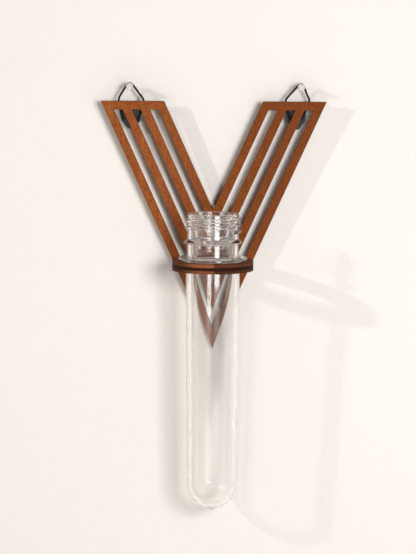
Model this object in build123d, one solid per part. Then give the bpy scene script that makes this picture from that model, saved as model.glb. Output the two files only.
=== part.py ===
from build123d import *
import math
import os

# Wall vase. A thin wooden V of nested slats hangs by two short cord loops over two wall pins.
# A round ring of two stacked plates stands out from it and holds a clear screw-neck tube by its flange.
#
# Millimetres. X runs to the viewer's right, Y into the wall and Z up. Y = 0 is the wall's surface.
# The origin lies on the wall, midway between the two pins and level with their needles.

# Wall pins
pin_out_from_arm_middle = 2.2
needle_radius = 0.5
needle_front_radius = 0.7
needle_depth_in_wall = 9.0
needle_point_length = 2.2
needle_depth_in_head = 3.4
head_radius = 1.7
head_length = 4.8
head_front_bevel = 0.6
head_in_front_of_cord = 2.0

# Cord loops
cord_diameter = 1.1
cord_side_count = 8
cord_to_panel = 0.05
cord_to_needle = 0.1
arc_run_share = 0.45
over_needle_share = 0.97

# V panel
panel_top_width = 110.0
panel_height = 121.1
panel_thickness = 2.4
panel_below_needles = 7.15
panel_from_pins_middle = -0.8
slat_count = 4
slat_width = 4.1
slot_width = 3.9
top_bar_height = 4.2
bridge_above_ring = 3.35
bridge_below_ring = 3.35

# Soft pads glued behind the arms, over the ends of the loops
pad_out_from_arm_middle = 0.7
pad_below_panel_top = 1.5
pad_width = 11.0
pad_waist_width = 9.4
pad_foot_width = 3.2
pad_shoulder_height = 8.1
pad_height = 12.2
pad_thickness = 2.2
pad_corner_round = 0.9
pad_edge_bevel = 0.5
pad_to_cord = 0.05

# Tube with its screw neck, all revolved about one upright axis
rim_above_ring = 22.65
tube_length = 145.0
neck_outer_radius = 12.47
neck_bore_radius = 10.87
rim_bevel = 0.35
bead_radius = 14.0
bead_below_rim = 12.2
bead_slope_height = 1.7
bead_edge_height = 0.5
flange_radius = 16.5
flange_thickness = 1.55
flange_bevel = 0.35
body_top_radius = 13.05
body_bottom_radius = 12.2
body_wall = 2.4
neck_bore_length = 23.5
bore_step_height = 4.0
gate_radius = 1.4
gate_height = 0.6
inner_floor_steps = 5
tube_seat_gap = 0.02

# Ring of two stacked plates, with tabs through the panel
ring_below_inner_slot = 3.35
ring_outer_radius = 19.6
ring_plate_thickness = 2.4
ring_to_tube = 0.6
ring_axis_to_panel = 18.0
tab_width = 11.0
tab_clearance = 0.05

# Directions
into_wall = (0, 1, 0)
to_viewer = (0, -1, 0)
down = (0, 0, -1)

# The V's proportions. Across means along the level top edge, which meets the slats at an angle.
panel_slope = panel_top_width / 2 / panel_height
half_angle = math.atan(panel_slope)
slat_across = slat_width / math.cos(half_angle)
slot_across = slot_width / math.cos(half_angle)
pitch_across = slat_across + slot_across
arm_across = slat_count * pitch_across - slot_across
arm_middle = panel_top_width / 2 - arm_across / 2
inner_slot_number = slat_count - 1
bridged_slot_number = inner_slot_number - 1


def slot_outer_half(number):
    """Half the width of a slot's V at the level of the panel's top edge. Slots count from outside."""
    return panel_top_width / 2 - number * pitch_across + slot_across


# Where things are
cord_radius = cord_diameter / 2
panel_back_y = -pad_thickness
panel_front_y = panel_back_y - panel_thickness
panel_top_z = -panel_below_needles
cord_y = panel_back_y + cord_to_panel + cord_radius
head_back_y = cord_y - head_in_front_of_cord
ring_top_below_panel_top = slot_outer_half(inner_slot_number) / panel_slope + ring_below_inner_slot
ring_top_z = panel_top_z - ring_top_below_panel_top
ring_axis_y = panel_front_y - ring_axis_to_panel
ring_bore_radius = body_top_radius + ring_to_tube
ring_height = 2 * ring_plate_thickness
flange_under_z = ring_top_z + tube_seat_gap
pin_from_middle = arm_middle + pin_out_from_arm_middle
pad_from_middle = arm_middle + pad_out_from_arm_middle
pin_places = {"left": -pin_from_middle, "right": pin_from_middle}
pad_places = {"left": -pad_from_middle, "right": pad_from_middle}

# The cords' routes, from one hidden end over the needle to the other.
# Each point is across and up from the needle's axis. The two highest points are the arc over the needle.
cord_routes = {
    "left": [(-3.4, -16.5), (-6.1, -7.3), (-0.74, 1.35), (0.66, 1.35), (8.0, -8.2), (3.6, -16.8)],
    "right": [(-4.6, -16.3), (-8.9, -7.9), (-0.59, 1.35), (0.85, 1.35), (4.8, -7.2), (0.3, -15.2)],
}


def upright_plane(y):
    """A plane that faces the viewer, with X across it and Z up it."""
    return Plane(origin=(0, y, 0), x_dir=(1, 0, 0), z_dir=to_viewer)


def nested_v(half_width):
    """A solid V of the panel's angle, its flat top at height zero."""
    return Polygon((-half_width, 0), (half_width, 0), (0, -half_width / panel_slope), align=None)


def make_panel():
    """The V panel: outline, nested slots, and the mortise for the ring's tabs."""
    face = nested_v(panel_top_width / 2) - nested_v(panel_top_width / 2 - arm_across)

    below_bar = Pos(0, -top_bar_height) * Rectangle(
        panel_top_width, panel_height, align=(Align.CENTER, Align.MAX)
    )
    bridge_height = bridge_above_ring + ring_height + bridge_below_ring
    bridge_top = -ring_top_below_panel_top + bridge_above_ring
    bridge = Pos(0, bridge_top) * Rectangle(
        panel_top_width, bridge_height, align=(Align.CENTER, Align.MAX)
    )
    for number in range(1, slat_count):
        slot = nested_v(slot_outer_half(number)) - nested_v(slot_outer_half(number) - slot_across)
        slot = slot & below_bar
        if number == bridged_slot_number:
            slot = slot - bridge
        face = face - slot

    mortise = Pos(0, -ring_top_below_panel_top + tab_clearance) * Rectangle(
        tab_width + 2 * tab_clearance,
        ring_height + 2 * tab_clearance,
        align=(Align.CENTER, Align.MAX),
    )
    face = face - mortise
    panel = extrude(upright_plane(panel_front_y) * face, amount=panel_thickness, dir=into_wall)
    return Pos(panel_from_pins_middle, 0, panel_top_z) * panel


def make_ring_plate(top_z):
    """One ring plate: round, cut flat where it meets the panel, with a tab through the panel."""
    disc = Circle(ring_outer_radius)
    in_front = Pos(0, ring_axis_to_panel) * Rectangle(
        2 * ring_outer_radius, 2 * ring_outer_radius, align=(Align.CENTER, Align.MAX)
    )
    tab = Rectangle(tab_width, ring_axis_to_panel + panel_thickness, align=(Align.CENTER, Align.MIN))
    face = (disc & in_front) + tab - Circle(ring_bore_radius)
    plate = extrude(face, amount=ring_plate_thickness, dir=down)
    return Pos(panel_from_pins_middle, ring_axis_y, top_z) * plate


def make_tube():
    """The tube: one closed profile revolved, heights counted from under its flange.

    The round floor inside follows its sphere in straight steps.
    """
    rim = rim_above_ring
    tube_floor = rim - tube_length
    dome_centre = tube_floor + gate_height + body_bottom_radius
    dome_inner_radius = body_bottom_radius - body_wall
    body_bore_radius = body_top_radius - body_wall
    neck_bore_end = rim - neck_bore_length
    bead_top = rim - bead_below_rim
    bead_edge = bead_top - bead_slope_height
    bead_foot = bead_edge - bead_edge_height
    gate_meets_dome = dome_centre - math.sqrt(body_bottom_radius**2 - gate_radius**2)
    half_turn_share = math.sqrt(1 / 2)
    inner_floor = [
        (
            dome_inner_radius * math.sin(step * math.pi / 2 / inner_floor_steps),
            dome_centre - dome_inner_radius * math.cos(step * math.pi / 2 / inner_floor_steps),
        )
        for step in range(inner_floor_steps + 1)
    ]

    with BuildPart() as tube:
        with BuildSketch(Plane.XZ):
            with BuildLine():
                Polyline(
                    (neck_bore_radius, neck_bore_end),
                    (neck_bore_radius, rim),
                    (neck_outer_radius, rim),
                    (neck_outer_radius, bead_top),
                    (bead_radius, bead_edge),
                    (bead_radius, bead_foot),
                    (neck_outer_radius, bead_foot),
                    (neck_outer_radius, flange_thickness),
                    (flange_radius, flange_thickness),
                    (flange_radius, 0),
                    (body_top_radius, 0),
                    (body_bottom_radius, dome_centre),
                )
                ThreePointArc(
                    (body_bottom_radius, dome_centre),
                    (
                        body_bottom_radius * half_turn_share,
                        dome_centre - body_bottom_radius * half_turn_share,
                    ),
                    (gate_radius, gate_meets_dome),
                )
                Polyline(
                    (gate_radius, gate_meets_dome),
                    (gate_radius, tube_floor),
                    (0, tube_floor),
                    *inner_floor,
                    (body_bore_radius, neck_bore_end - bore_step_height),
                    (neck_bore_radius, neck_bore_end),
                )
            outline = make_face()
            lips = [
                corner
                for corner in outline.vertices()
                if abs(corner.Z - rim) < rim_bevel
            ]
            chamfer(lips, rim_bevel)
            flange_corners = [
                corner
                for corner in outline.vertices()
                if abs(corner.X - flange_radius) < flange_bevel
            ]
            chamfer(flange_corners, flange_bevel)
        revolve(axis=Axis.Z)
    return Pos(panel_from_pins_middle, ring_axis_y, flange_under_z) * tube.part


def cord_line(side):
    """The line a loop follows: straight runs joined by arcs as large as the runs allow."""
    route = cord_routes[side]
    radii = []
    for before, corner, after in zip(route, route[1:], route[2:]):
        run_in = Vector(*corner) - Vector(*before)
        run_out = Vector(*after) - Vector(*corner)
        half_turn = math.radians(run_in.get_angle(run_out)) / 2
        if corner[1] > 0:
            radii.append(over_needle_share * (needle_front_radius + cord_to_needle + cord_radius))
        else:
            radii.append(arc_run_share * min(run_in.length, run_out.length) / math.tan(half_turn))
    print("cord", side, "radii", [round(radius, 2) for radius in radii])
    return upright_plane(cord_y) * Pos(pin_places[side]) * FilletPolyline(*route, radius=radii)


def sweep_cord(line, radius):
    """A many-sided bar along a line. The radius reaches its corners."""
    start = Plane(origin=line @ 0, z_dir=line % 0)
    return sweep(start * RegularPolygon(radius, cord_side_count), path=line)


def make_cord(side):
    """One loop, from under its pad over the needle and back."""
    line = cord_line(side)
    cord = sweep_cord(line, cord_radius)
    section = RegularPolygon(cord_radius, cord_side_count).area
    print(
        "cord", side, "length", round(line.length, 2), "volume", round(cord.volume, 3),
        "section times length", round(section * line.length, 3),
    )
    return cord


def make_pad(side):
    """One pad: a shield outline, bevelled on the wall's side, with channels for the cord's ends."""
    half_width = pad_width / 2
    half_waist = pad_waist_width / 2
    half_foot = pad_foot_width / 2
    outline = Polygon(
        (half_width, 0),
        (half_waist, -pad_shoulder_height),
        (half_foot, -pad_height),
        (-half_foot, -pad_height),
        (-half_waist, -pad_shoulder_height),
        (-half_width, 0),
        align=None,
    )
    outline = fillet(outline.vertices(), pad_corner_round)
    pad = extrude(upright_plane(panel_back_y) * outline, amount=pad_thickness, dir=into_wall)
    wall_side = pad.faces().sort_by(Axis.Y)[-1]
    pad = chamfer(wall_side.edges(), pad_edge_bevel)
    across = panel_from_pins_middle + pad_places[side]
    pad = Pos(across, 0, panel_top_z - pad_below_panel_top) * pad
    return pad - sweep_cord(cord_line(side), cord_radius + pad_to_cord)


def make_needle(side):
    """One needle: from inside its head through the loop and into the wall, with a long point.

    It is thicker in front of the wall, so it stops there and leaves the loop its room.
    """
    needle_back = head_back_y - needle_depth_in_head
    shank_end = needle_depth_in_wall - needle_point_length
    lathe = Plane(origin=(0, 0, 0), x_dir=(0, 1, 0), z_dir=(1, 0, 0))
    profile = Polygon(
        (needle_back, 0),
        (shank_end, 0),
        (needle_depth_in_wall, 0),
        (shank_end, needle_radius),
        (0, needle_radius),
        (0, needle_front_radius),
        (needle_back, needle_front_radius),
        align=None,
    )
    return Pos(pin_places[side]) * revolve(lathe * profile, axis=Axis.Y)


def make_head(side):
    """One clear pin head: a short barrel with a bevelled front and a blind hole for the needle."""
    facing = upright_plane(head_back_y)
    barrel = extrude(facing * Circle(head_radius), amount=head_length, dir=to_viewer)
    ends = barrel.edges().filter_by(GeomType.CIRCLE).sort_by(Axis.Y)
    barrel = chamfer(ends[0], head_front_bevel)
    hole = extrude(facing * Circle(needle_front_radius), amount=needle_depth_in_head, dir=to_viewer)
    return Pos(pin_places[side]) * (barrel - hole)


parts = {
    "v_panel": make_panel(),
    "ring_upper": make_ring_plate(ring_top_z),
    "ring_lower": make_ring_plate(ring_top_z - ring_plate_thickness),
    "test_tube": make_tube(),
}
for side in ("left", "right"):
    parts["cord_" + side] = make_cord(side)
    parts["pad_" + side] = make_pad(side)
    parts["pin_needle_" + side] = make_needle(side)
    parts["pin_head_" + side] = make_head(side)

os.makedirs("parts", exist_ok=True)
for name, solid in parts.items():
    export_step(solid, "parts/" + name + ".step")
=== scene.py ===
import math

import bmesh
import bpy
from bpy.props import FloatProperty, FloatVectorProperty, IntProperty, PointerProperty
from mathutils import Euler, Matrix, Vector


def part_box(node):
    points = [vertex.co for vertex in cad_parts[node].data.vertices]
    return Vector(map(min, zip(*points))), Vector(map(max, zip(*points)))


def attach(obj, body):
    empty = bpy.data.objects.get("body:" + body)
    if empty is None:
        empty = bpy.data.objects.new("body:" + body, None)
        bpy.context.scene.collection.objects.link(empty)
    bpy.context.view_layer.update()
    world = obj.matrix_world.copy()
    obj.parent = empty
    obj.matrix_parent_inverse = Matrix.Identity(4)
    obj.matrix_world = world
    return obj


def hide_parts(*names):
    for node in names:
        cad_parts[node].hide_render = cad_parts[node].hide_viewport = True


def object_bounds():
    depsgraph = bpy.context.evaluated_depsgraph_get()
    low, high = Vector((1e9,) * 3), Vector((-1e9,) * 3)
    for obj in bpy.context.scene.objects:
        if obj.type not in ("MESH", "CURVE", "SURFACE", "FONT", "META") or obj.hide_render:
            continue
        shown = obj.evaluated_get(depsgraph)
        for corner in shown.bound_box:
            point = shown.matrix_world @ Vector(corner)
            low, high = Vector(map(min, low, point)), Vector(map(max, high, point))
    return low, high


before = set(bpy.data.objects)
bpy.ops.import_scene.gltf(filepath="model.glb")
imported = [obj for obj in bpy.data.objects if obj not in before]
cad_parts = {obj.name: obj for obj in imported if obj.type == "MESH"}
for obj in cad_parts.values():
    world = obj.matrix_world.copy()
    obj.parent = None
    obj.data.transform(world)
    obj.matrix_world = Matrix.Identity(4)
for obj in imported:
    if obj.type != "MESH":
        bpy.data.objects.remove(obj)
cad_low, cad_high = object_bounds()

bl_info = {
    "name": "Test tube wall vase",
    "version": (1, 0, 0),
    "blender": (4, 5, 0),
    "location": "3D View > Sidebar > Vase",
    "description": "Dresses the packed wall vase: wood, clear tube, cord loops, pads and pins",
    "category": "Object",
}

MILLIMETRE = 0.001
WOOD_GLOSS = 0.08
TINY = 1e-9

# The cords' routes, from one hidden end over the needle to the other, in millimetres.
# Each point is across and up from the needle's axis.
CORD_ROUTES = {
    "left": [
        (-3.4, -16.5), (-6.1, -7.3), (-4.15, -3.65), (-0.95, 1.35),
        (0.87, 1.35), (4.45, -3.35), (8.0, -8.2), (3.6, -16.8),
    ],
    "right": [
        (-4.6, -16.3), (-8.9, -7.9), (-4.95, -3.25), (-0.82, 1.35),
        (1.03, 1.35), (3.05, -4.2), (4.8, -7.2), (0.3, -15.2),
    ],
}


def number(name, description, default, **more):
    """A number property that isn't less than nought."""
    return FloatProperty(name=name, description=description, default=default, min=0, **more)


def length(name, description, default):
    """A length property in metres."""
    return number(name, description, default, precision=5, unit="LENGTH")


def colour(name, description, default):
    """A linear colour property."""
    return FloatVectorProperty(
        name=name, description=description, default=default, size=3, min=0, max=1, subtype="COLOR"
    )


def share(name, description, default):
    """A property from nought to one."""
    return number(name, description, default, max=1)


def degrees(name, description, default):
    """An angle property, its default in degrees."""
    return FloatProperty(
        name=name, description=description, default=math.radians(default), subtype="ANGLE"
    )


def millimetres(*sizes):
    """Sizes in metres, turned into millimetres."""
    return [size / MILLIMETRE for size in sizes]


class CordSettings(bpy.types.PropertyGroup):
    diameter: length("Diameter", "Thickness of the waxed cord", 0.0011)
    left_length: length("Left length", "Length of the left loop, hidden ends included", 0.0412)
    right_length: length("Right length", "Length of the right loop, hidden ends included", 0.0400)
    lay: length("Lay", "Length of cord in which a strand goes once round", 0.0030)
    strands: IntProperty(name="Strands", description="Strands twisted together", default=3, min=2, max=6)
    groove: share("Groove", "Depth of the grooves between strands, as a share of the radius", 0.18)
    wax: colour("Wax", "Colour of the black waxed strands", (0.0085, 0.0075, 0.0075))
    dust: colour("Worn wax", "Colour where the wax has rubbed pale", (0.045, 0.039, 0.036))


class BoardSettings(bpy.types.PropertyGroup):
    top_width: length("Top width", "Width of the V across its level top edge", 0.110)
    height: length("Height", "Height of the V from its top edge to its tip", 0.1211)
    slat: length("Slat", "Width of one slat", 0.0041)
    slot: length("Slot", "Width of the gap between two slats", 0.0039)
    slats: IntProperty(name="Slats", description="Slats in each arm", default=4, min=1)
    bar: length("Top bar", "Height of wood above the slots", 0.0042)
    edge_wear: length("Edge wear", "Rounding of the cut arrises", 0.00012)
    smoke: length("Smoke", "Width of the smoke stain beside a laser cut", 0.00035)
    light_grain: colour("Light grain", "Stain on the open grain", (0.399, 0.123, 0.034))
    dark_grain: colour("Dark grain", "Stain on the dense grain", (0.268, 0.073, 0.019))
    # This colour is painted shade: the board is made darker towards the right, where less light falls on
    # it.
    shade_to_right: colour("Deep stain", "Stain towards the right, where the board took more", (0.143, 0.037, 0.008))
    pore: colour("Pores", "Short dark pores in the grain", (0.100, 0.026, 0.009))
    char: colour("Char", "Wood burnt by the cut", (0.020, 0.0070, 0.0045))
    # This colour is a painted highlight: the sunlit stripes on the left of the ring's front edge.
    sunlit_edge: colour("Bare edge", "Cut wood that the laser barely browned", (0.300, 0.100, 0.040))
    scorch: colour("Scorch", "Cut wood that is only browned", (0.122, 0.042, 0.018))


class TubeSettings(bpy.types.PropertyGroup):
    neck_radius: length("Neck radius", "Outside of the neck between its ridges", 0.01247)
    bore_radius: length("Bore radius", "Inside of the neck", 0.01087)
    thread_radius: length("Thread radius", "Over the crest of the thread", 0.0137)
    pitch: length("Pitch", "Rise of the thread in one turn", 0.0031)
    crest: length("Crest", "Half the width of the thread's crest", 0.00050)
    foot: length("Foot", "Half the width of the thread at the neck", 0.00092)
    middle_depth: length("Depth", "Depth of the middle turn below the rim, at the right", 0.00530)
    thread_zone: length("Thread zone", "Depth below the rim that the thread stays above", 0.0117)
    half_turns: number("Half the thread", "Turns of thread above and below that point", 1.14)
    bead_radius: length("Bead radius", "Over the bead below the thread", 0.0140)
    flange_radius: length("Flange radius", "Over the flange that rests on the ring", 0.0165)
    body_top_radius: length("Body radius at the top", "Outside of the body under the flange", 0.01305)
    body_foot_radius: length("Body radius at the foot", "Outside of the body above its round end", 0.0122)
    wall: length("Wall", "Thickness of the body's wall", 0.0024)
    flange_depth: length("Flange depth", "From the rim to the flange's underside", 0.02265)
    flange_height: length("Flange height", "Thickness of the flange", 0.00155)
    gate_radius: length("Gate radius", "Radius of the moulding nub under the round end", 0.0014)
    gate_height: length("Gate height", "Height of the moulding nub", 0.0006)
    segments: IntProperty(name="Segments", description="Faces round the tube", default=216, min=24)
    tint: colour("Tint", "Colour of the clear plastic", (0.995, 0.990, 0.983))
    index: number("Refraction", "How much the plastic bends light", 1.57)
    roughness: share("Roughness", "How much the plastic blurs", 0.010)
    ripple: length("Ripple", "Depth of the faint waves in the surface", 0.000002)
    haze: share("Haze", "How milky the plastic is, seen square on", 0.012)


class PadSettings(bpy.types.PropertyGroup):
    width: length("Width", "Width at the top", 0.0110)
    waist: length("Waist", "Width at the shoulders", 0.0094)
    foot: length("Foot", "Width at the blunt tip", 0.0032)
    shoulder: length("Shoulder", "Height from the top to the shoulders", 0.0081)
    height: length("Height", "Height from the top to the blunt tip", 0.0122)
    corner: length("Corner", "Rounding of the outline's corners", 0.0009)
    groove: length("Groove", "Half the width of the groove that the cord has pressed", 0.00105)
    seam: length("Seam", "How far behind the pad's front its seam lies", 0.0011)
    crown: length("Crown", "How far the front swells out from the seam", 0.00105)
    ridge: length("Ridge", "How far the cord pushes the wall side out", 0.00030)
    wall_swell: share("Wall swell", "How far the wall side swells, as a share of the thickness", 0.36)
    fill: share("Fill", "How firm the pad is", 0.8)
    skin: colour("Skin", "Colour of the soft black sheet", (0.020, 0.023, 0.030))
    bloom: colour("Bloom", "Paler bluish rubbing on it", (0.050, 0.056, 0.070))


class PinSettings(bpy.types.PropertyGroup):
    waist: length("Waist", "Radius at the head's waist", 0.00145)
    dome: length("Dome", "Rounding of the head's front edge", 0.00075)
    bevel: length("Bevel", "How far the head's front edge is set back", 0.00035)
    fillet: length("Fillet", "Rounding where the head narrows to its waist", 0.0006)
    lip: length("Lip", "Rounding of the head's back edge", 0.0003)
    segments: IntProperty(name="Segments", description="Faces round a head", default=64, min=12)
    tint: colour("Head", "Colour of the clear head", (0.955, 0.965, 0.970))
    index: number("Refraction", "How much the plastic bends light", 1.49)
    roughness: share("Roughness", "How much the plastic blurs", 0.03)
    ripple: length("Ripple", "Depth of the faint waves in the surface", 0.00002)
    haze: share("Haze", "How milky the plastic is, seen square on", 0.45)
    steel: colour("Steel", "Colour of the bare wire", (0.56, 0.56, 0.57))


class StageSettings(bpy.types.PropertyGroup):
    lens: number("Lens", "Focal length in millimetres", 169.0)
    distance: length("Distance", "From the camera to the tube's axis, on the level", 1.25)
    above_rim: length("Above the rim", "Height of the camera above the tube's rim", 0.109)
    left_of_axis: length("Left of the axis", "How far left of the tube's axis the camera is", 0.0023)
    pitch: degrees("Pitch", "How far the camera looks down", 6.384)
    roll: degrees("Roll", "How far the camera is turned about its line of sight", 0.33)
    wall_lean: degrees("Wall lean", "How far the wall leans back above the V's tip", 1.75)
    wall_gap: length("Wall gap", "How far behind the frame's wall plane the painted wall stands", 0.00002)
    half_width: length("Half width", "Half the width of the wall and the floor", 2.2)
    wall_top: length("Wall top", "Height of the wall's top edge above the pins", 1.4)
    floor_drop: length("Floor", "Depth of the floor below the object", 0.11)
    floor_reach: length("Floor reach", "How far the floor comes forward", 5.0)
    wall_paint: colour("Wall", "Colour of the plain wall", (0.82, 0.79, 0.76))
    floor_paint: colour("Floor", "Colour of the plain floor", (0.86, 0.84, 0.82))
    backdrop: colour("Backdrop", "Colour seen beyond the wall and in reflections", (0.86, 0.85, 0.84))
    key_power: number("Key", "Power of the low soft lamp in watts", 0.62)
    room_power: number("Room", "Power of the wide lamp beside it in watts", 8.05)
    side_power: number("Side", "Power of the lamp at the left in watts", 4.1)
    fill_power: number("Fill", "Power of the wide lamp above in watts", 0.05)
    sky: number("Sky", "Strength of the even light", 0.022)


class VaseSettings(bpy.types.PropertyGroup):
    cords: PointerProperty(type=CordSettings)
    board: PointerProperty(type=BoardSettings)
    tube: PointerProperty(type=TubeSettings)
    pads: PointerProperty(type=PadSettings)
    pins: PointerProperty(type=PinSettings)
    stage: PointerProperty(type=StageSettings)


class Value:
    """One socket of a node tree. Arithmetic on it adds the Math nodes."""

    def __init__(self, tree, socket):
        self.tree = tree
        self.socket = socket

    def math(self, operation, *others):
        return add(self.tree, "ShaderNodeMath", {"operation": operation}, self, *others)

    def __add__(self, other):
        return self.math("ADD", other)

    __radd__ = __add__

    def __sub__(self, other):
        return self.math("SUBTRACT", other)

    def __rsub__(self, other):
        return add(self.tree, "ShaderNodeMath", {"operation": "SUBTRACT"}, other, self)

    def __mul__(self, other):
        return self.math("MULTIPLY", other)

    __rmul__ = __mul__

    def __truediv__(self, other):
        return self.math("DIVIDE", other)

    def __rtruediv__(self, other):
        return add(self.tree, "ShaderNodeMath", {"operation": "DIVIDE"}, other, self)

    def __abs__(self):
        return self.math("ABSOLUTE")

    def least(self, other):
        return self.math("MINIMUM", other)

    def most(self, other):
        return self.math("MAXIMUM", other)

    def under(self, other):
        return self.math("LESS_THAN", other)

    def rise(self, start, end):
        """Nought below start, one above end and smooth between."""
        return add(
            self.tree, "ShaderNodeMapRange", {"interpolation_type": "SMOOTHSTEP"},
            self, start, end, 0.0, 1.0,
        )


def add(tree, kind, settings=None, *inputs, out=0, **named):
    """Adds any node: its settings first, then the values or links of its sockets.

    Inputs go to the sockets in order, None leaves one alone, and named ones are found by name.
    """
    node = tree.nodes.new(kind)
    for name, value in (settings or {}).items():
        setattr(node, name, value)
    wanted = list(enumerate(inputs))
    wanted += [(name.replace("_", " "), value) for name, value in named.items()]
    for key, value in wanted:
        if value is None:
            continue
        socket = node.inputs[key]
        if isinstance(value, Value):
            tree.links.new(value.socket, socket)
        elif socket.type == "RGBA":
            socket.default_value = (*value[:3], 1.0)
        else:
            socket.default_value = value
    return Value(tree, node.outputs[out]) if node.outputs else node


def parts_of(vector):
    """The three numbers of a vector."""
    split = add(vector.tree, "ShaderNodeSeparateXYZ", None, vector)
    outputs = split.socket.node.outputs
    return [Value(vector.tree, outputs[axis]) for axis in range(3)]


def vector_of(x, y, z):
    """A vector from three numbers, at least one of which is a socket's."""
    tree = next(part.tree for part in (x, y, z) if isinstance(part, Value))
    return add(tree, "ShaderNodeCombineXYZ", None, x, y, z)


def blend_colour(factor, low, high):
    """From the low colour to the high one. The node's colour inputs come after five others."""
    others = [None] * 5
    return add(factor.tree, "ShaderNodeMix", {"data_type": "RGBA"}, factor, *others, low, high, out=2)


def noise(vector, scale, detail=2.0, roughness=0.5):
    """Smooth noise from nought to one, the scale in lumps to a unit of the vector."""
    return add(vector.tree, "ShaderNodeTexNoise", None, vector, None, scale, detail, roughness)


def new_material(name):
    """An empty material, its tree, and the place on the surface in millimetres."""
    material = bpy.data.materials.new(name)
    material.use_nodes = True
    tree = material.node_tree
    tree.nodes.clear()
    point = add(tree, "ShaderNodeTexCoord", None, out="Object")
    place = add(tree, "ShaderNodeVectorMath", {"operation": "SCALE"}, point, Scale=1 / MILLIMETRE)
    return material, tree, place


def ray_is(tree, *kinds):
    """One for a light path of one of the kinds, nought for any other."""
    paths = add(tree, "ShaderNodeLightPath").socket.node.outputs
    found, *others = [Value(tree, paths["Is " + kind + " Ray"]) for kind in kinds]
    for other in others:
        found = found.most(other)
    return found


def surfaced(material, shader):
    """The material, once its output shows the shader."""
    add(material.node_tree, "ShaderNodeOutputMaterial", None, shader)
    return material


def principled(tree, shade, rough, normal, **fixed):
    """The usual shader, with further sockets by name."""
    return add(
        tree, "ShaderNodeBsdfPrincipled", None,
        Base_Color=shade, Roughness=rough, Normal=normal, **fixed,
    )


def facing(tree, axis):
    """One where the surface faces along an axis, nought where it lies along it."""
    turned = parts_of(add(tree, "ShaderNodeNewGeometry", None, out="True Normal"))[axis]
    return abs(turned).rise(0.35, 0.8)


def bumped(height, strength, depth_mm):
    """A normal from a height pattern, its depth in millimetres."""
    return add(
        height.tree, "ShaderNodeBump", None,
        Strength=strength, Distance=depth_mm * MILLIMETRE, Height=height,
    )


def grain(place, settings):
    """Stained open grain that runs upwards, made darker towards the right by painted shade: its colour,
    its height, its pores and its tone.
    """
    x, y, z = parts_of(place)
    drift = noise(vector_of(x * 0.05, y * 0.05, z * 0.012), 1.0, 2.0)
    across = x + drift * 5.0
    fibre = noise(vector_of(across * 1.7, y * 1.7, z * 0.13), 1.0, 4.0, 0.62)
    band = noise(vector_of(across * 0.33, y * 0.33, z * 0.028), 1.0, 2.0, 0.5)
    pore = noise(vector_of(x * 4.6, y * 4.6, z * 0.55), 1.0, 2.0, 0.5)
    tone = (fibre * 0.62 + band * 0.48 - 0.05).rise(0.33, 0.72)
    wood = blend_colour(tone, settings.dark_grain, settings.light_grain)
    pores = pore.rise(0.60, 0.70) * 0.75
    wood = blend_colour(pores, wood, settings.pore)
    # Painted shade: the wood is made darker towards the right, where less light falls.
    wood = blend_colour(x.rise(-45.0, 35.0) * 0.72, wood, settings.shade_to_right)
    fleck = noise(place, 1.15, 2.0, 0.6)
    wood = blend_colour(fleck.rise(0.38, 0.62) * 0.42, wood, settings.pore)
    height = fibre * 0.35 - pores * 0.6
    return wood, height, pores, tone


def cut_wood(place, settings, burn):
    """Laser-cut edge: browned or burnt, with fine marks through the board's thickness."""
    x, y, z = parts_of(place)
    marks = noise(vector_of(x * 6.0, y * 0.35, z * 6.0), 1.0, 2.0, 0.55)
    blotch = noise(place, 0.45, 2.0)
    depth = (burn + (marks - 0.5) * 0.55 + (blotch - 0.5) * 0.5).rise(0.05, 0.95)
    return blend_colour(depth, settings.scorch, settings.char), marks


def v_board_material(settings):
    """The V: stained face with painted shade towards the right, smoke beside the cuts and burnt cut edges.
    """
    material, tree, place = new_material("stained_v_board")
    x, y, z = parts_of(place)
    wood, raised, pores, tone = grain(place, settings)

    low, high = millimetres(*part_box("v_panel"))
    half_width, height, slat, slot, bar, smoke = millimetres(
        settings.top_width / 2, settings.height, settings.slat, settings.slot, settings.bar,
        settings.smoke,
    )
    slope = half_width / height
    lean = math.cos(math.atan(slope))
    pitch = slat + slot
    arm = (settings.slats - 1) * pitch + slat
    far = 100.0

    below = high.z - z
    inward = (half_width - below * slope - abs(x - (low.x + high.x) / 2)) * lean
    on_slat = inward.math("FLOORED_MODULO", pitch)
    beside_slot = on_slat.least(slat - on_slat)
    over_slot = (bar - below) + on_slat.under(slat) * far
    in_bar = below.least(over_slot).least(inward).least(arm - inward)
    is_bar = below.under(bar)
    from_cut = in_bar * is_bar + beside_slot * (1.0 - is_bar)
    ragged = noise(place, 1.3) * 0.5 + 0.6
    clean = (from_cut / ragged).rise(0.0, smoke)
    face = blend_colour((1.0 - clean) * 0.40, wood, settings.char)

    is_face = facing(tree, 1)
    through = (y - low.y) / (high.y - low.y)
    edge, marks = cut_wood(place, settings, through * 0.5 + 0.45)
    shade = blend_colour(is_face, edge, face)
    rough = is_face * (0.50 + pores * 0.2 - tone * 0.06 - 0.62) + 0.62
    relief = is_face * raised + (1.0 - is_face) * marks * 0.5
    return surfaced(material, principled(
        tree, shade, rough, bumped(relief, 0.55, 0.10), Specular_IOR_Level=WOOD_GLOSS
    ))


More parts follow.
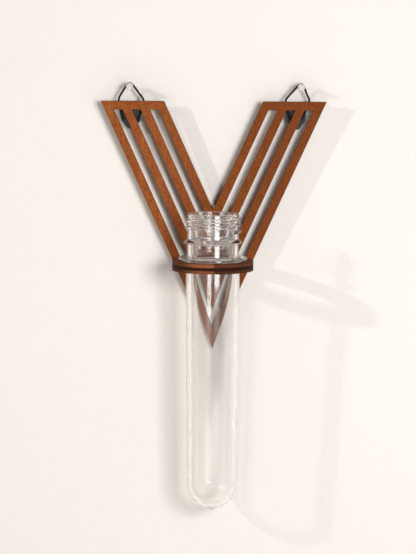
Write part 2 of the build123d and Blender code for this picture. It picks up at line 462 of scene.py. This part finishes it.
def ring_material(settings):
    """Both ring plates: burnt edges, darkest at the joint between them, a painted sunlit highlight on the
    left of the front edge with painted shade beside it, and stained faces.
    """
    material, tree, place = new_material("burnt_ring_board")
    x, y, z = parts_of(place)
    wood, raised, _, tone = grain(place, settings)
    low, high = millimetres(*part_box("ring_upper"))

    from_joint = (z - low.z) / (high.z - low.z)
    marks = noise(vector_of(x * 5.0, y * 5.0, z * 0.4), 1.0, 2.0, 0.55)
    blotch = noise(place, 0.35)
    upper = from_joint.rise(0.16, 0.38) * (1.0 - from_joint.rise(0.86, 1.0) * 0.6)
    lower = (from_joint * -1.0).rise(0.26, 0.48)
    clean = upper.most(lower * 0.8)
    # Painted light: this mask is the sunlit patch on the left of the ring's front, ending sharply near the
    # middle.
    left = x.rise(-17.0, -8.0) * (1.0 - x.rise(-1.2, 0.4))
    burn = (1.0 - clean) + (marks - 0.5) * 0.35 + (blotch - 0.5) * 0.35
    # Painted shade: the edge is made darker outside the sunlit patch, where no sun falls.
    burn = (burn + (1.0 - left) * 0.32).rise(-0.05, 1.0)
    edge = blend_colour(burn, settings.scorch, settings.char)
    # Painted highlight: paler stripes on both plates, only inside the sunlit patch.
    edge = blend_colour(upper.most(lower * 0.5) * left * 0.75, edge, settings.sunlit_edge)

    is_face = facing(tree, 2)
    face = blend_colour(tone * 0.25 + 0.20, wood, settings.char)
    shade = blend_colour(is_face, edge, face)
    rough = 0.58 + marks * 0.14 + burn * 0.05
    relief = is_face * raised + (1.0 - is_face) * marks * 0.5
    return surfaced(material, principled(
        tree, shade, rough, bumped(relief, 0.45, 0.08), Specular_IOR_Level=WOOD_GLOSS
    ))


def clear_plastic(name, settings):
    """Clear moulded plastic. Lamps shine through it with little loss, so its shadow stays pale."""
    material, tree, place = new_material(name)
    ripple = bumped(noise(place, 0.16, 1.0), 0.4, settings.ripple / MILLIMETRE)
    clear = principled(
        tree, settings.tint, settings.roughness, ripple, IOR=settings.index,
        Transmission_Weight=1.0, Coat_Weight=0.9, Coat_Roughness=0.12,
    )
    outline = add(tree, "ShaderNodeLayerWeight", None, 0.5, out="Facing")
    haze = add(tree, "ShaderNodeBsdfDiffuse", None, (0.90, 0.88, 0.86))
    hazy = outline.rise(0.72, 1.0) * 0.42 + settings.haze
    seen = add(tree, "ShaderNodeMixShader", None, hazy, clear, haze)

    see_through = add(tree, "ShaderNodeBsdfTransparent", None, (0.975, 0.97, 0.965))
    dark = add(tree, "ShaderNodeBsdfTransparent", None, (0.12, 0.10, 0.08))
    veil = add(tree, "ShaderNodeMixShader", None, outline.rise(0.30, 0.90), see_through, dark)
    lit_through = ray_is(tree, "Shadow", "Diffuse")
    return surfaced(material, add(tree, "ShaderNodeMixShader", None, lit_through, seen, veil))


def cord_material(settings):
    """Black waxed strands with fine fibre and pale rubbed crests."""
    material, tree, place = new_material("waxed_black_cord")
    fibre = noise(place, 9.0, 3.0, 0.65)
    wear = noise(place, 0.9)
    crest = add(tree, "ShaderNodeNewGeometry", None, out="Pointiness").rise(0.50, 0.60)
    rubbed = (fibre.rise(0.52, 0.75) * 0.6 + crest * 0.25) * wear.rise(0.35, 0.65)
    shade = blend_colour(rubbed, settings.wax, settings.dust)
    return surfaced(material, principled(
        tree, shade, 0.42 + fibre * 0.25, bumped(fibre, 0.5, 0.05), Specular_IOR_Level=0.3
    ))


def pad_material(settings):
    """Soft black sheet with a pebbled skin and a bluish bloom."""
    material, tree, place = new_material("soft_black_pad")
    cells = add(
        tree, "ShaderNodeTexVoronoi", {"feature": "SMOOTH_F1"}, place, Scale=2.6, Randomness=1.0
    )
    pebble = cells + noise(place, 6.0) * 0.3
    bloom = noise(place, 0.5, 3.0).rise(0.40, 0.70)
    shade = blend_colour(bloom * 0.8, settings.skin, settings.bloom)
    return surfaced(material, principled(
        tree, shade, 0.46 + pebble * 0.16, bumped(pebble, 0.35, 0.08), Sheen_Weight=0.25
    ))


def steel_material(settings):
    """Drawn wire, with faint lines along it."""
    material, tree, place = new_material("drawn_pin_steel")
    x, y, z = parts_of(place)
    lines = noise(vector_of(x * 14.0, y * 0.6, z * 14.0), 1.0)
    shade = blend_colour(lines, [part * 0.8 for part in settings.steel], settings.steel)
    return surfaced(material, principled(
        tree, shade, 0.22 + lines * 0.16, bumped(lines, 0.2, 0.02), Metallic=1.0
    ))


def mesh_from(name, points, faces, merge=None):
    """A smooth mesh from points in metres, its near points merged and its faces turned outwards."""
    mesh = bpy.data.meshes.new(name)
    mesh.from_pydata(points, [], faces)
    work = bmesh.new()
    work.from_mesh(mesh)
    if merge is not None:
        bmesh.ops.remove_doubles(work, verts=work.verts, dist=merge)
    bmesh.ops.recalc_face_normals(work, faces=work.faces)
    work.to_mesh(mesh)
    work.free()
    mesh.shade_smooth()
    return mesh


def in_scene(name, data):
    """A new object that holds the mesh, curve, lamp or camera."""
    made = bpy.data.objects.new(name, data)
    bpy.context.scene.collection.objects.link(made)
    return made


def middle_of(node):
    """The middle of a CAD node's box."""
    low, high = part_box(node)
    return (low + high) / 2


def show(mesh, name, body, slot, material, *nodes):
    """A finished piece that rides on a body and stands for CAD nodes."""
    piece = in_scene(name, mesh)
    mesh.materials.clear()
    mesh.materials.append(material)
    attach(piece, body)
    if nodes:
        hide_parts(*nodes)
    return piece


def plain_mesh(source, name):
    """The evaluated shape of an object, as a plain mesh."""
    bpy.context.view_layer.update()
    depsgraph = bpy.context.evaluated_depsgraph_get()
    mesh = bpy.data.meshes.new_from_object(source.evaluated_get(depsgraph), depsgraph=depsgraph)
    mesh.name = name
    return mesh


def worn_copy(node, name, width):
    """A merged copy of a CAD node's mesh with its arrises slightly rounded."""
    same_place = 0.002 * MILLIMETRE
    flat = math.radians(0.5)
    work = bmesh.new()
    work.from_mesh(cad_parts[node].data)
    bmesh.ops.remove_doubles(work, verts=work.verts, dist=same_place)
    bmesh.ops.dissolve_limit(work, angle_limit=flat, verts=work.verts, edges=work.edges)
    mesh = bpy.data.meshes.new(name + "_plain")
    work.to_mesh(mesh)
    work.free()
    mesh.shade_smooth()
    helper = in_scene(name + "_helper", mesh)
    bevel = helper.modifiers.new("worn_arrises", "BEVEL")
    bevel.width = width
    bevel.segments = 2
    bevel.limit_method = "ANGLE"
    bevel.angle_limit = math.radians(35)
    bevel.harden_normals = True
    result = plain_mesh(helper, name)
    bpy.data.objects.remove(helper)
    return result


def size_tree(name, sizes):
    """A geometry tree with a named input for each size, and the values of its inputs."""
    tree = bpy.data.node_groups.new(name, "GeometryNodeTree")
    for direction in ("INPUT", "OUTPUT"):
        tree.interface.new_socket("Geometry", in_out=direction, socket_type="NodeSocketGeometry")
    for label, size in sizes.items():
        kind = "NodeSocketInt" if isinstance(size, int) else "NodeSocketFloat"
        tree.interface.new_socket(label, in_out="INPUT", socket_type=kind)
    given = add(tree, "NodeGroupInput").socket.node.outputs
    return tree, {label: Value(tree, given[label]) for label in ("Geometry", *sizes)}


def end_tree(shape, material):
    """Ends a geometry tree with real instances, the material and the output."""
    real = add(shape.tree, "GeometryNodeRealizeInstances", None, Geometry=shape)
    dressed = add(shape.tree, "GeometryNodeSetMaterial", None, Geometry=real, Material=material)
    add(shape.tree, "NodeGroupOutput", None, dressed)


def grown(helper, tree, sizes, name):
    """The mesh that a geometry tree makes of a helper, which is then deleted."""
    modifier = helper.modifiers.new(tree.name, "NODES")
    modifier.node_group = tree
    for socket in tree.interface.items_tree:
        if socket.in_out == "INPUT" and socket.name in sizes:
            modifier[socket.identifier] = sizes[socket.name]
    mesh = plain_mesh(helper, name)
    helper.modifiers.remove(modifier)
    bpy.data.objects.remove(helper)
    return mesh


def cord_tree(sizes, material):
    """Geometry nodes that lay twisted strands along a curve."""
    step = 0.12 * MILLIMETRE
    sides = 36
    tree, size = size_tree("twisted_cord", sizes)
    even = add(
        tree, "GeometryNodeResampleCurve", {"mode": "LENGTH"}, Curve=size["Geometry"], Length=step
    )
    along = add(tree, "GeometryNodeSplineParameter", None, out="Length")
    turned = along / size["Lay"] * (2 * math.pi)
    twisted = add(tree, "GeometryNodeSetCurveTilt", None, Curve=even, Tilt=turned)
    ring = add(tree, "GeometryNodeCurvePrimitiveCircle", None, Resolution=sides, Radius=1.0)
    x, y, _ = parts_of(add(tree, "GeometryNodeInputPosition"))
    lobes = abs((y.math("ARCTAN2", x) * size["Strands"] / 2).math("COSINE"))
    reach = size["Radius"] * (1.0 - size["Groove"] * (1.0 - lobes))
    outline = vector_of(x * reach, y * reach, 0.0)
    section = add(tree, "GeometryNodeSetPosition", None, Geometry=ring, Position=outline)
    body = add(
        tree, "GeometryNodeCurveToMesh", None, Curve=twisted, Profile_Curve=section, Fill_Caps=True
    )
    end_tree(add(tree, "GeometryNodeSetShadeSmooth", None, Geometry=body), material)
    return tree


def cord_curve(side):
    """The smooth centreline of one loop, as a NURBS curve through its route's points."""
    needle = middle_of("pin_needle_" + side)
    out = middle_of("cord_" + side).y
    route = CORD_ROUTES[side]
    curve = bpy.data.curves.new("cord_line_" + side, "CURVE")
    curve.dimensions = "3D"
    curve.resolution_u = 16
    spline = curve.splines.new("NURBS")
    spline.points.add(len(route) - 1)
    for point, (x, z) in zip(spline.points, route):
        point.co = (needle.x + x * MILLIMETRE, out, needle.z + z * MILLIMETRE, 1.0)
    spline.order_u = 3
    spline.use_endpoint_u = True
    return in_scene("cord_line_" + side, curve)


def line_points(helper):
    """Points read from the evaluated centreline."""
    mesh = plain_mesh(helper, helper.name + "_points")
    points = [tuple(vertex.co) for vertex in mesh.vertices]
    bpy.data.meshes.remove(mesh)
    return points


def rounded_line(corners, steps=5):
    """Points of a bent line whose corners are rounded: each corner is across, up and rounding.

    A guard point close to each end of a rounding keeps the long faces beside it truly flat.
    """
    longest_reach = 0.44
    guard_share = 0.03
    guard_most = 0.05
    points = []
    last = len(corners) - 1
    for index, (across, up, rounding) in enumerate(corners):
        corner = Vector((across, up))
        if index in (0, last) or rounding <= 0:
            points.append(corner)
            continue
        before = Vector(corners[index - 1][:2]) - corner
        after = Vector(corners[index + 1][:2]) - corner
        half = before.angle(after) / 2
        shorter = min(before.length, after.length)
        reach = min(rounding / math.tan(half), shorter * longest_reach)
        guard = min(guard_most, shorter * guard_share)
        start = corner + before.normalized() * reach
        end = corner + after.normalized() * reach
        points.append(start + before.normalized() * guard)
        for step in range(steps + 1):
            part = step / steps
            points.append(start.lerp(corner, part).lerp(corner.lerp(end, part), part))
        points.append(end + after.normalized() * guard)
    return points


def lathe(points, segments, place):
    """Points and faces of a shape turned about an upright line. Points on the line become poles."""
    vertices = []
    rings = []
    for across, up in points:
        count = 1 if across < TINY else segments
        rings.append(range(len(vertices), len(vertices) + count))
        for segment in range(count):
            turn = 2 * math.pi * segment / segments
            x = place.x + across * math.cos(turn)
            y = place.y + across * math.sin(turn)
            vertices.append((x, y, place.z + up))
    faces = []
    for lower, upper in zip(rings, rings[1:]):
        for segment in range(segments):
            following = (segment + 1) % segments
            if len(lower) == 1:
                faces.append((lower[0], upper[segment], upper[following]))
            elif len(upper) == 1:
                faces.append((lower[segment], upper[0], lower[following]))
            else:
                faces.append((lower[segment], upper[segment], upper[following], lower[following]))
    return vertices, faces


def arc_down(radius, centre, start, steps=28):
    """Points of a round end about a centre, from an angle off straight down out to level."""
    for step in range(steps + 1):
        angle = start + (math.pi / 2 - start) * step / steps
        yield Vector((radius * math.sin(angle), centre - radius * math.cos(angle)))


def between(start, end, steps):
    """Evenly spaced points between two points, without them."""
    return [Vector(start).lerp(Vector(end), step / steps) for step in range(1, steps)]


def tube_outline(settings, rim):
    """The tube's section in millimetres, from its lowest point up the outside and down the bore.

    Levels are heights above that point, and those of the neck are measured down from the rim.
    """
    body, body_top, neck, bore, wall, bead = millimetres(
        settings.body_foot_radius, settings.body_top_radius, settings.neck_radius,
        settings.bore_radius, settings.wall, settings.bead_radius,
    )
    flange, flange_depth, flange_height, gate, gate_height = millimetres(
        settings.flange_radius, settings.flange_depth, settings.flange_height,
        settings.gate_radius, settings.gate_height,
    )
    centre = gate_height + body
    flange_foot = rim - flange_depth
    flange_top = flange_foot + flange_height
    gate_round = 0.35
    body_start = flange_foot - 1.5
    bead_start = rim - 15.1
    bead_end = rim - 11.6
    rim_start = rim - 1.1
    rim_round = 0.42
    bore_foot = rim - 22.5
    shoulder = rim - 27.5
    inside_start = rim - 30.5

    dome = list(arc_down(body, centre, math.asin((gate + gate_round) / body)))
    points = rounded_line([
        (0, 0, 0), (gate, 0, gate_round), (gate + 0.02, gate_height - 0.1, 0.25), (*dome[0], 0),
    ], steps=4)
    points += dome[1:]
    points += between((body, centre), (body_top, flange_foot), 12)
    points += rounded_line([
        (body_top, body_start, 0),
        (body_top, flange_foot, 0.25),
        (flange, flange_foot, 0.38),
        (flange, flange_top, 0.45),
        (neck, flange_top, 0.55),
        (neck, bead_start - 0.1, 0),
    ])
    points += rounded_line([
        (neck, bead_start, 0),
        (neck, bead_start + 0.55, 0.25),
        (bead, bead_start + 1.0, 0.3),
        (bead, bead_start + 1.4, 0.3),
        (neck, bead_end - 0.6, 0.4),
        (neck, bead_end, 0),
    ])
    points += between((neck, bead_end), (neck, rim_start), 132)
    points += rounded_line([
        (neck, rim_start, 0), (neck, rim, rim_round), (bore, rim, rim_round), (bore, rim - 3.0, 0),
    ])
    points += between((bore, rim - 3.0), (bore, rim - 24.0), 7)
    inner = body - wall
    inner_top = body_top - wall
    points += rounded_line([
        (bore, bore_foot, 0),
        (bore, bore_foot - 1.0, 1.2),
        (inner_top, shoulder, 2.0),
        (inner_top - 0.01, inside_start, 0),
    ])
    points += between((inner_top, inside_start), (inner, centre), 12)
    points += reversed(list(arc_down(inner, centre, 0)))
    points[0].x = 0
    points[-1].x = 0
    return points


def thread_tree(sizes, material):
    """Geometry nodes that raise the neck's thread from the plain wall, fading out at both ends."""
    fade = 0.07
    at_wall = 0.02 * MILLIMETRE
    tree, size = size_tree("neck_thread", sizes)
    x, y, z = parts_of(add(tree, "GeometryNodeInputPosition"))
    x = x - size["Axis x"]
    y = y - size["Axis y"]
    down = size["Rim"] - z
    reach = (x * x + y * y).math("SQRT")
    part_turn = y.math("ARCTAN2", x) / (2 * math.pi)
    laps = []
    for lap in (-1, 0, 1):
        turns = part_turn + lap
        off = abs(down - size["Depth"] + turns * size["Pitch"])
        form = 1.0 - ((off - size["Crest"]) / (size["Foot"] - size["Crest"])).most(0.0).least(1.0)
        laps.append(form * (size["Half turns"] - abs(turns)).rise(0.0, fade))
    ridge = laps[0].most(laps[1]).most(laps[2])
    on_wall = abs(reach - size["Neck"]).under(at_wall)
    raised = ridge * (on_wall * down.under(size["Lowest"])) * size["Ridge"]
    offset = vector_of(x / reach * raised, y / reach * raised, 0.0)
    moved = add(tree, "GeometryNodeSetPosition", None, Geometry=size["Geometry"], Offset=offset)
    end_tree(moved, material)
    return tree


class VASE_OT_camera(bpy.types.Operator):
    """Sets the camera at the photograph's place"""
    bl_idname = "vase.camera"
    bl_label = "Camera"

    def execute(self, context):
        settings = context.scene.vase.stage
        axis = middle_of("test_tube")
        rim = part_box("test_tube")[1].z
        camera = bpy.data.cameras.new("camera")
        camera.sensor_width = 36
        camera.lens = settings.lens
        camera.clip_start = 0.05
        camera.clip_end = 20
        holder = in_scene("camera", camera)
        holder.location = (
            axis.x - settings.left_of_axis, axis.y - settings.distance, rim + settings.above_rim
        )
        aimed = Euler((math.pi / 2 - settings.pitch, 0, 0)).to_matrix()
        holder.rotation_euler = (aimed @ Matrix.Rotation(settings.roll, 3, "Z")).to_euler()
        context.scene.camera = holder
        return {"FINISHED"}


class VASE_OT_cords(bpy.types.Operator):
    """Twists both cord loops along their smooth lines"""
    bl_idname = "vase.cords"
    bl_label = "Cord loops"

    def execute(self, context):
        settings = context.scene.vase.cords
        material = cord_material(settings)
        sizes = {
            "Radius": settings.diameter / 2, "Lay": settings.lay,
            "Groove": settings.groove, "Strands": settings.strands,
        }
        tree = cord_tree(sizes, material)
        for side, whole in (("left", settings.left_length), ("right", settings.right_length)):
            helper = cord_curve(side)
            points = line_points(helper)
            mesh = grown(helper, tree, sizes, "cord_loop_" + side)
            piece = show(mesh, "cord_loop_" + side, "frame", "black_cord", material, "cord_" + side)
        return {"FINISHED"}


class VASE_OT_board(bpy.types.Operator):
    """Makes the slatted V board with worn arrises"""
    bl_idname = "vase.board"
    bl_label = "V board"

    def execute(self, context):
        settings = context.scene.vase.board
        mesh = worn_copy("v_panel", "v_board", settings.edge_wear)
        show(mesh, "v_board", "frame", "stained_wood", v_board_material(settings), "v_panel")
        return {"FINISHED"}


class VASE_OT_ring(bpy.types.Operator):
    """Makes the two stacked plates of the ring"""
    bl_idname = "vase.ring"
    bl_label = "Ring plates"

    def execute(self, context):
        settings = context.scene.vase.board
        material = ring_material(settings)
        for node in ("ring_upper", "ring_lower"):
            mesh = worn_copy(node, node + "_plate", settings.edge_wear)
            show(mesh, node + "_plate", "frame", "ring_wood", material, node)
        return {"FINISHED"}


class VASE_OT_tube(bpy.types.Operator):
    """Turns the clear tube and raises the thread on its neck"""
    bl_idname = "vase.tube"
    bl_label = "Clear tube"

    def execute(self, context):
        settings = context.scene.vase.tube
        low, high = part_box("test_tube")
        axis = middle_of("test_tube")
        material = clear_plastic("clear_tube", settings)
        tall = (high.z - low.z) / MILLIMETRE
        outline = [point * MILLIMETRE for point in tube_outline(settings, tall)]
        points, faces = lathe(outline, settings.segments, Vector((axis.x, axis.y, low.z)))
        helper = in_scene("tube_helper", mesh_from("tube_plain", points, faces))
        sizes = {
            "Ridge": settings.thread_radius - settings.neck_radius, "Neck": settings.neck_radius,
            "Pitch": settings.pitch, "Crest": settings.crest, "Foot": settings.foot,
            "Depth": settings.middle_depth, "Lowest": settings.thread_zone,
            "Half turns": settings.half_turns, "Axis x": axis.x, "Axis y": axis.y, "Rim": high.z,
        }
        mesh = grown(helper, thread_tree(sizes, material), sizes, "screw_neck_tube")
        mesh.shade_smooth()
        sharp = math.radians(50)
        mesh.set_sharp_from_angle(angle=sharp)
        show(mesh, "screw_neck_tube", "tube", "clear_tube", material, "test_tube")
        return {"FINISHED"}


def pad_outline(settings, count=112):
    """Evenly spaced points round the pad's outline, from its top middle, in millimetres."""
    half, waist, foot = millimetres(settings.width / 2, settings.waist / 2, settings.foot / 2)
    shoulder, tall, corner = millimetres(settings.shoulder, settings.height, settings.corner)
    line = rounded_line([
        (0, 0, 0), (half, 0, corner), (waist, -shoulder, corner * 2), (foot, -tall, corner),
        (-foot, -tall, corner), (-waist, -shoulder, corner * 2), (-half, 0, corner), (0, 0, 0),
    ], steps=6)
    lengths = [0.0]
    for start, end in zip(line, line[1:]):
        lengths.append(lengths[-1] + (end - start).length)
    points = []
    piece = 0
    for spot in range(count):
        target = lengths[-1] * spot / count
        while lengths[piece + 1] < target:
            piece += 1
        span = lengths[piece + 1] - lengths[piece]
        points.append(line[piece].lerp(line[piece + 1], (target - lengths[piece]) / max(span, TINY)))
    return points


def nearest(point, line):
    """Distance from a point to a line of points, across and up."""
    gaps = []
    for start, end in zip(line, line[1:]):
        run = end - start
        part = max(0.0, min(1.0, (point - start).dot(run) / max(run.length_squared, TINY)))
        gaps.append((point - start - run * part).length)
    return min(gaps)


def pad_mesh(settings, side, outline, loops=16):
    """One pad, of loops that shrink to its heart: a swollen front sheet and a flatter wall sheet."""
    low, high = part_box("pad_" + side)
    top_middle = Vector(((low.x + high.x) / 2, high.z)) / MILLIMETRE
    back, seam, wall_swell = millimetres(
        high.y, low.y + settings.seam, (high.y - low.y) * settings.wall_swell
    )
    groove, crown, ridge = millimetres(settings.groove, settings.crown, settings.ridge)
    heart = Vector((0, -0.44 * settings.height / MILLIMETRE))
    crowding = 1.25
    roundness = 5.5
    helper = cord_curve(side)
    cord = [Vector((x, z)) / MILLIMETRE for x, _, z in line_points(helper)]
    bpy.data.objects.remove(helper)
    around = len(outline)
    points = []
    faces = []
    for is_wall_side in (False, True):
        first = len(points)
        for loop in range(loops + 1):
            inset = (loop / loops) ** crowding
            swell = math.sqrt(1 - (1 - min(1.0, inset * roundness)) ** 2)
            for edge in outline:
                at = top_middle + edge.lerp(heart, inset)
                press = max(0.0, 1 - (nearest(at, cord) / groove) ** 2)
                if is_wall_side:
                    out = min(seam + (wall_swell + ridge * press) * swell, back)
                else:
                    out = seam - crown * (1 - press) * swell
                points.append((at.x * MILLIMETRE, out * MILLIMETRE, at.y * MILLIMETRE))
        for loop in range(loops):
            for spot in range(around):
                here = first + loop * around + spot
                beside = first + loop * around + (spot + 1) % around
                faces.append((here, beside, beside + around, here + around))
    return mesh_from("soft_pad_" + side, points, faces, 0.005 * MILLIMETRE)


class VASE_OT_pads(bpy.types.Operator):
    """Shapes both soft pads, pressed over the ends of the cords"""
    bl_idname = "vase.pads"
    bl_label = "Soft pads"

    def execute(self, context):
        settings = context.scene.vase.pads
        material = pad_material(settings)
        outline = pad_outline(settings)
        for side in ("left", "right"):
            mesh = pad_mesh(settings, side, outline)
            piece = show(mesh, "soft_pad_" + side, "frame", "black_pad", material, "pad_" + side)
        return {"FINISHED"}


class VASE_OT_pins(bpy.types.Operator):
    """Turns the clear heads and gives the needles their steel"""
    bl_idname = "vase.pins"
    bl_label = "Wall pins"

    def execute(self, context):
        settings = context.scene.vase.pins
        steel = steel_material(settings)
        clear = clear_plastic("clear_pin_head", settings)
        for side in ("left", "right"):
            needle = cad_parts["pin_needle_" + side]
            needle.data.materials.clear()
            needle.data.materials.append(steel)
            low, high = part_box("pin_head_" + side)
            middle = (low + high) / 2
            radius = (high.x - low.x) / 2
            back_radius = radius * 0.97
            tall = high.y - low.y
            outline = rounded_line([
                (0, 0, 0),
                (radius * 0.55, 0, settings.fillet * 2 / 3),
                (radius, settings.bevel, settings.dome),
                (radius, tall * 0.30, settings.fillet),
                (settings.waist, tall * 0.52, settings.fillet * 1.5),
                (settings.waist, tall * 0.78, settings.fillet),
                (back_radius, tall * 0.90, settings.fillet / 2),
                (back_radius, tall, settings.lip),
                (0, tall, 0),
            ], steps=6)
            points, faces = lathe(outline, settings.segments, Vector((0, 0, 0)))
            turned = [(middle.x + x, low.y + z, middle.z - y) for x, y, z in points]
            mesh = mesh_from("clear_head_" + side, turned, faces)
            show(mesh, "clear_head_" + side, "wall_pins", "clear_pin_head", clear, "pin_head_" + side)
        return {"FINISHED"}


def lamp(name, power, size, place, aim=(0, 0, -0.08), tint=(1.0, 0.985, 0.97), reflected=True):
    """A soft rectangular lamp that points at a place, with or without its own reflection."""
    light = bpy.data.lights.new(name, "AREA")
    light.shape = "RECTANGLE"
    light.size, light.size_y = size
    light.energy = power
    light.color = tint
    holder = in_scene(name, light)
    holder.location = place
    holder.rotation_euler = (Vector(aim) - Vector(place)).to_track_quat("-Z", "Y").to_euler()
    holder.visible_camera = False
    holder.visible_glossy = reflected
    holder.visible_transmission = reflected


def paint_material(name, paint, see_from_behind):
    """Plain matt paint. A wall can be looked through from behind, so the back views stay open."""
    material, tree, place = new_material(name)
    rough = noise(place, 0.5, 4.0, 0.6)
    speckle = noise(place, 0.35, 3.0) * 0.05 + noise(place, 0.02) * 0.05
    shade = blend_colour(speckle, paint, [part * 0.75 for part in paint])
    shader = principled(tree, shade, 0.9, bumped(rough, 0.25, 0.5), Specular_IOR_Level=0.1)
    if see_from_behind:
        behind = add(tree, "ShaderNodeNewGeometry", None, out="Backfacing")
        looked_at = ray_is(tree, "Camera") * behind
        see_through = add(tree, "ShaderNodeBsdfTransparent")
        shader = add(tree, "ShaderNodeMixShader", None, looked_at, shader, see_through)
    return surfaced(material, shader)


def stage_sheet(name, corners, paint, see_from_behind):
    """A painted sheet of the stage, which is no part of the object."""
    mesh = bpy.data.meshes.new(name)
    mesh.from_pydata(corners, [], [(0, 1, 2, 3)])
    mesh.materials.append(paint_material(name + "_paint", paint, see_from_behind))
    in_scene(name, mesh)


class VASE_OT_stage(bpy.types.Operator):
    """Sets the plain wall, the floor, the lamps and the even light"""
    bl_idname = "vase.stage"
    bl_label = "Wall, floor and lamps"

    def execute(self, context):
        settings = context.scene.vase.stage
        wide = settings.half_width
        near = -settings.floor_reach
        top = settings.wall_top
        foot = cad_low.z - settings.floor_drop
        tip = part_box("v_panel")[0].z
        slope = math.tan(settings.wall_lean)
        top_y = settings.wall_gap + (top - tip) * slope
        foot_y = settings.wall_gap + (foot - tip) * slope
        wall = [(-wide, foot_y, foot), (wide, foot_y, foot), (wide, top_y, top), (-wide, top_y, top)]
        floor = [(-wide, near, foot), (wide, near, foot), (wide, foot_y, foot), (-wide, foot_y, foot)]
        stage_sheet("wall", wall, settings.wall_paint, True)
        stage_sheet("floor", floor, settings.floor_paint, False)
        lamp("key", settings.key_power, (0.36, 0.09), (0.317, -0.95, -0.178), aim=(0, 0, -0.178))
        lamp("room", settings.room_power, (0.31, 0.29), (0.357, -0.932, 0.075), reflected=False)
        lamp(
            "side", settings.side_power, (0.035, 0.035), (-0.97, -0.585, 0.31), tint=(1.0, 0.93, 0.86)
        )
        lamp("fill", settings.fill_power, (1.2, 0.9), (-0.2, -0.9, 0.9), reflected=False)

        world = bpy.data.worlds.new("even_light")
        world.use_nodes = True
        tree = world.node_tree
        tree.nodes.clear()
        seen = ray_is(tree, "Camera", "Glossy", "Transmission")
        even = add(tree, "ShaderNodeBackground", None, (1.0, 0.98, 0.96), settings.sky)
        pale = add(tree, "ShaderNodeBackground", None, settings.backdrop, 1.0)
        both = add(tree, "ShaderNodeMixShader", None, seen, even, pale)
        add(tree, "ShaderNodeOutputWorld", None, both)
        context.scene.world = world
        context.scene.view_settings.view_transform = "Standard"
        return {"FINISHED"}


class VASE_PT_panel(bpy.types.Panel):
    bl_idname = "VASE_PT_panel"
    bl_label = "Wall vase"
    bl_space_type = "VIEW_3D"
    bl_region_type = "UI"
    bl_category = "Vase"

    def draw(self, context):
        for operator in OPERATORS:
            self.layout.operator(operator.bl_idname)
        for group in ("cords", "board", "tube", "pads", "pins", "stage"):
            box = self.layout.box()
            settings = getattr(context.scene.vase, group)
            for name in settings.bl_rna.properties.keys():
                if name not in ("rna_type", "name"):
                    box.prop(settings, name)


OPERATORS = (
    VASE_OT_camera, VASE_OT_cords, VASE_OT_board, VASE_OT_ring,
    VASE_OT_tube, VASE_OT_pads, VASE_OT_pins, VASE_OT_stage,
)
CLASSES = (
    CordSettings, BoardSettings, TubeSettings, PadSettings, PinSettings, StageSettings,
    VaseSettings, *OPERATORS, VASE_PT_panel,
)


def register():
    for made in CLASSES:
        bpy.utils.register_class(made)
    bpy.types.Scene.vase = PointerProperty(type=VaseSettings)


def unregister():
    del bpy.types.Scene.vase
    for made in reversed(CLASSES):
        bpy.utils.unregister_class(made)


def main():
    register()
    bpy.ops.vase.camera()
    bpy.ops.vase.cords()
    bpy.ops.vase.board()
    bpy.ops.vase.ring()
    bpy.ops.vase.tube()
    bpy.ops.vase.pads()
    bpy.ops.vase.pins()
    bpy.ops.vase.stage()


if __name__ == "__main__":
    main()
